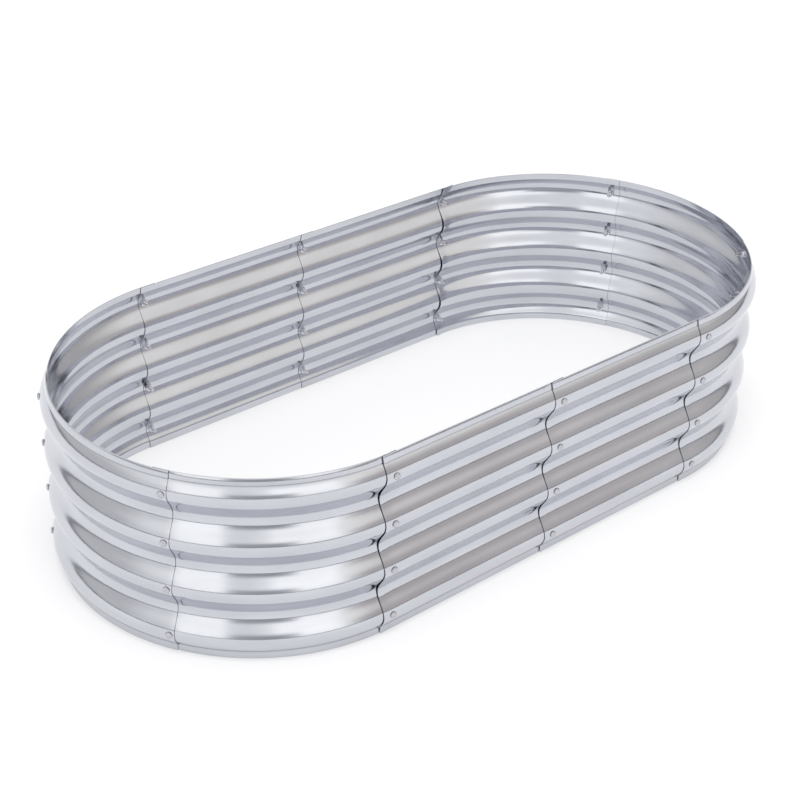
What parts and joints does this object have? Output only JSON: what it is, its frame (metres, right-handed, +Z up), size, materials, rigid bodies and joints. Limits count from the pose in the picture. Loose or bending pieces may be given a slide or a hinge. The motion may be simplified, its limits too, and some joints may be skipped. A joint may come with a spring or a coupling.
{
  "type": "raised garden bed",
  "caption": "Oval raised garden bed: a ring of corrugated steel panels, lapped and bolted, open at the top and the bottom to hold soil on the ground.",
  "frame": {"origin": "on the ground plane, below the middle of the oval", "axes": "+X along the bed's length, +Y towards its far long side, +Z up; the sheets' bottom edges stand at Z = 0"},
  "size_m": [1.2232, 0.6178, 0.29],
  "materials": {
    "galvanised_sheet": "smooth galvanised, satin",
    "plated_bolt": "bright plated, smooth",
    "plated_nut": "bright plated, smooth"
  },
  "bodies": {
    "root": {"near_side_panel_left": "galvanised_sheet", "near_side_panel_right": "galvanised_sheet", "right_end_panel_near": "galvanised_sheet", "right_end_panel_middle": "galvanised_sheet", "right_end_panel_far": "galvanised_sheet", "far_side_panel_right": "galvanised_sheet", "far_side_panel_left": "galvanised_sheet", "left_end_panel_far": "galvanised_sheet", "left_end_panel_middle": "galvanised_sheet", "left_end_panel_near": "galvanised_sheet", "bolts_near_left_corner": "plated_bolt", "bolts_near_middle": "plated_bolt", "bolts_near_right_corner": "plated_bolt", "bolts_right_end_near": "plated_bolt", "bolts_right_end_far": "plated_bolt", "bolts_far_right_corner": "plated_bolt", "bolts_far_middle": "plated_bolt", "bolts_far_left_corner": "plated_bolt", "bolts_left_end_far": "plated_bolt", "bolts_left_end_near": "plated_bolt", "nuts_near_left_corner": "plated_nut", "nuts_near_middle": "plated_nut", "nuts_near_right_corner": "plated_nut", "nuts_right_end_near": "plated_nut", "nuts_right_end_far": "plated_nut", "nuts_far_right_corner": "plated_nut", "nuts_far_middle": "plated_nut", "nuts_far_left_corner": "plated_nut", "nuts_left_end_far": "plated_nut", "nuts_left_end_near": "plated_nut"}
  },
  "joints": []
}
